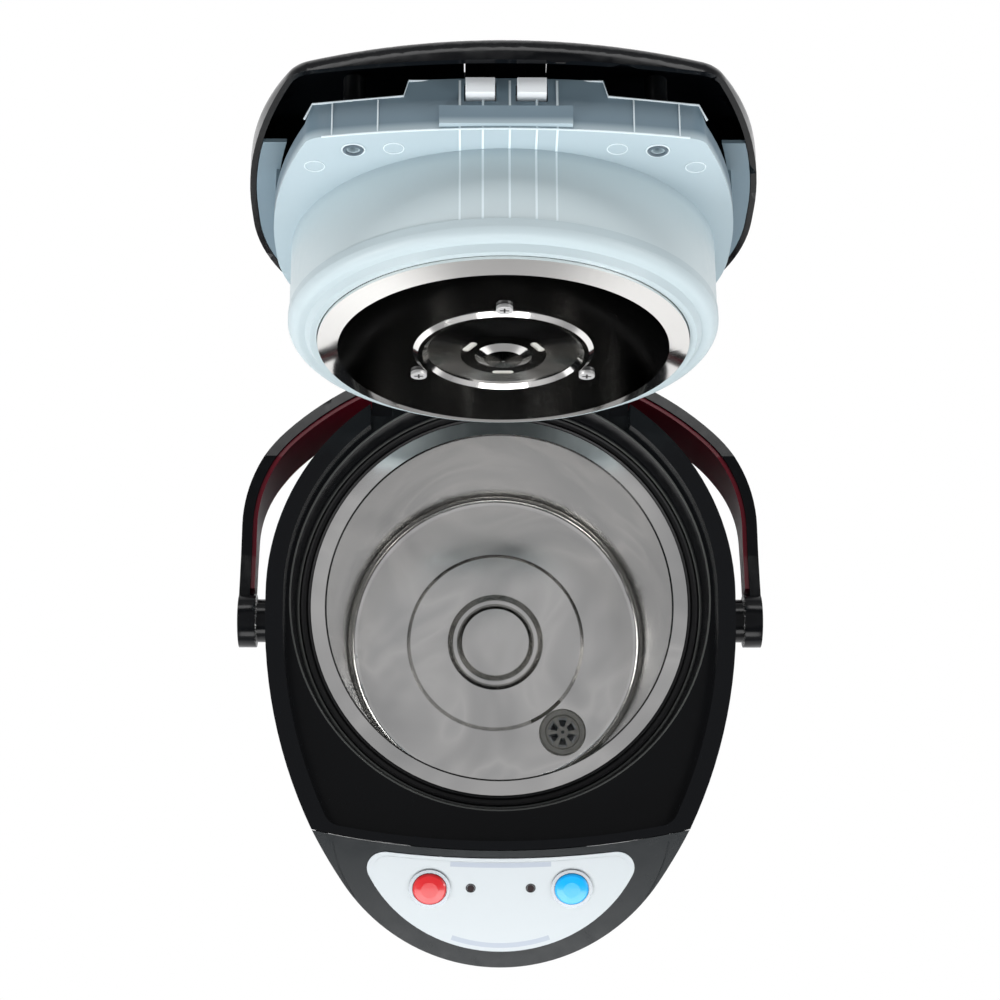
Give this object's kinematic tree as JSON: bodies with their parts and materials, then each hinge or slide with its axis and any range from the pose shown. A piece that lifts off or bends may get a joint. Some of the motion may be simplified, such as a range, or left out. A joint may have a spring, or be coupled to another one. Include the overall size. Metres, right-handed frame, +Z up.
{
  "type": "electric thermo pot",
  "caption": "Electric water boiler with a steel inner pot, hinged lid with drum and latch, swinging handle and a sloping nose with push buttons.",
  "frame": {"origin": "middle of the standing face, under the axis of the inner pot", "axes": "+Z up, the front with the control panel faces -Y, +X to the right seen from the front turned about Z"},
  "size_m": [0.242, 0.3665, 0.515],
  "materials": {
    "black_plastic": "satin black ABS",
    "black_gloss": "gloss black ABS",
    "grey_gloss": "gloss grey-black plastic",
    "black_rubber": "matte",
    "zinc_steel": "zinc plated",
    "shell_steel": "gloss black lacquered steel",
    "clear_window": "clear plastic window",
    "pot_steel": "bright stainless",
    "grey_plastic": "grey plastic",
    "white_plastic": "white plastic",
    "silicone": "translucent silicone",
    "aluminium": "cast",
    "thermostat_body": "phenolic",
    "fuse_sleeve": "glass fibre sleeve",
    "board_green": "circuit board",
    "nickel_brass": "nickel plated",
    "silver_label": "satin silver foil label",
    "chrome_trim": "polished",
    "red_plastic": "gloss",
    "blue_plastic": "gloss",
    "lamp_lens": "dark red lens",
    "switch_black": "matte",
    "lamp_body": "lamp body",
    "dark_red": "dark red inner face",
    "frosted_plastic": "translucent bluish polypropylene"
  },
  "bodies": {
    "pot": {"base_plate": "black_plastic", "rubber_feet": "black_rubber", "base_skirt": "black_plastic", "base_screws": "zinc_steel", "outer_shell": "shell_steel", "gauge_frame": "black_plastic", "level_window": "clear_window", "inner_pot": "pot_steel", "pot_gasket": "black_rubber", "drain_filter": "grey_plastic", "outlet_fitting": "white_plastic", "pump_housing": "white_plastic", "pump_motor": "zinc_steel", "riser_tube": "silicone", "spout_pipe": "silicone", "heater_plate": "aluminium", "heater_clamp": "zinc_steel", "thermostat": "thermostat_body", "thermal_fuse": "fuse_sleeve", "power_board": "board_green", "power_inlet": "black_plastic", "inlet_pins": "nickel_brass", "collar": "black_gloss", "hinge_pin": "zinc_steel", "handle_pivots": "zinc_steel", "nose_cover": "grey_gloss", "nose_base": "black_plastic", "label_plate": "silver_label", "button_bezels": "chrome_trim", "led_lenses": "lamp_lens", "control_board": "board_green", "tact_switches": "switch_black", "indicator_lamps": "lamp_body"},
    "lid": {"lid_cover": "black_gloss", "lid_inner": "frosted_plastic", "drum_seal": "silicone", "lid_plate": "pot_steel", "plate_screws": "zinc_steel", "cover_screws": "zinc_steel", "hinge_arm": "black_plastic", "steam_vent": "black_gloss", "steam_tube": "silicone"},
    "latch": {"latch_bar": "white_plastic", "release_key": "black_gloss"},
    "handle": {"handle_bail": "black_gloss", "handle_liner": "dark_red"},
    "rotor": {"pump_rotor": "white_plastic"},
    "heat_key": {"heat_button": "red_plastic"},
    "dispense_key": {"dispense_button": "blue_plastic"}
  },
  "joints": [
    {"name": "lid_hinge", "type": "hinge", "parent": "pot", "child": "lid", "pos_m": [0, 0.1089, 0.3013], "axis": [1, 0, 0], "range_deg": [0, 104.2]},
    {"name": "handle_hinge", "type": "hinge", "parent": "pot", "child": "handle", "pos_m": [0, -0.01, 0.292], "axis": [1, 0, 0], "range_deg": [0, 12]},
    {"name": "latch_slide", "type": "slide", "parent": "lid", "child": "latch", "axis": [0, 0.2453, 0.9694], "range_m": [-0.002, 0.002], "stiffness_N_per_m": 600},
    {"name": "heat_press", "type": "slide", "parent": "pot", "child": "heat_key", "axis": [0, 0.4384, -0.8988], "range_m": [0, 0.0015], "stiffness_N_per_m": 400},
    {"name": "dispense_press", "type": "slide", "parent": "pot", "child": "dispense_key", "axis": [0, 0.4384, -0.8988], "range_m": [0, 0.0015], "stiffness_N_per_m": 400},
    {"name": "pump_spin", "type": "hinge", "parent": "pot", "child": "rotor", "pos_m": [0.0374, -0.0503, 0.03], "axis": [0, 0, 1], "continuous": true}
  ]
}
